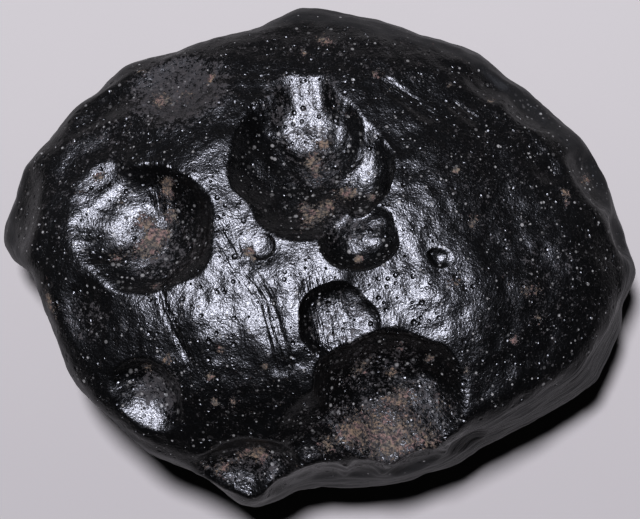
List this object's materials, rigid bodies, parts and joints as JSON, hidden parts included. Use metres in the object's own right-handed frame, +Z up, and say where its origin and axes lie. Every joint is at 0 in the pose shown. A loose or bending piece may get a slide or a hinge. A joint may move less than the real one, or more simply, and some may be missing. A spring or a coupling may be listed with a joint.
{
  "type": "tektite",
  "caption": "Domed oval lump of black natural glass with deep compound bubble pits on top, scalloped rim and a flattened patch to lie on.",
  "frame": {"origin": "on the surface the stone lies on, under the middle of its bounding box", "axes": "+X along the longest way through the stone, +Y across it, +Z up through the pitted face; the deep compound pit is toward +Y and the wide lower pit toward -Y"},
  "size_m": [0.046, 0.0364, 0.0207],
  "materials": {
    "tektite_glass": "satin"
  },
  "bodies": {
    "root": {"tektite": "tektite_glass"}
  },
  "joints": []
}
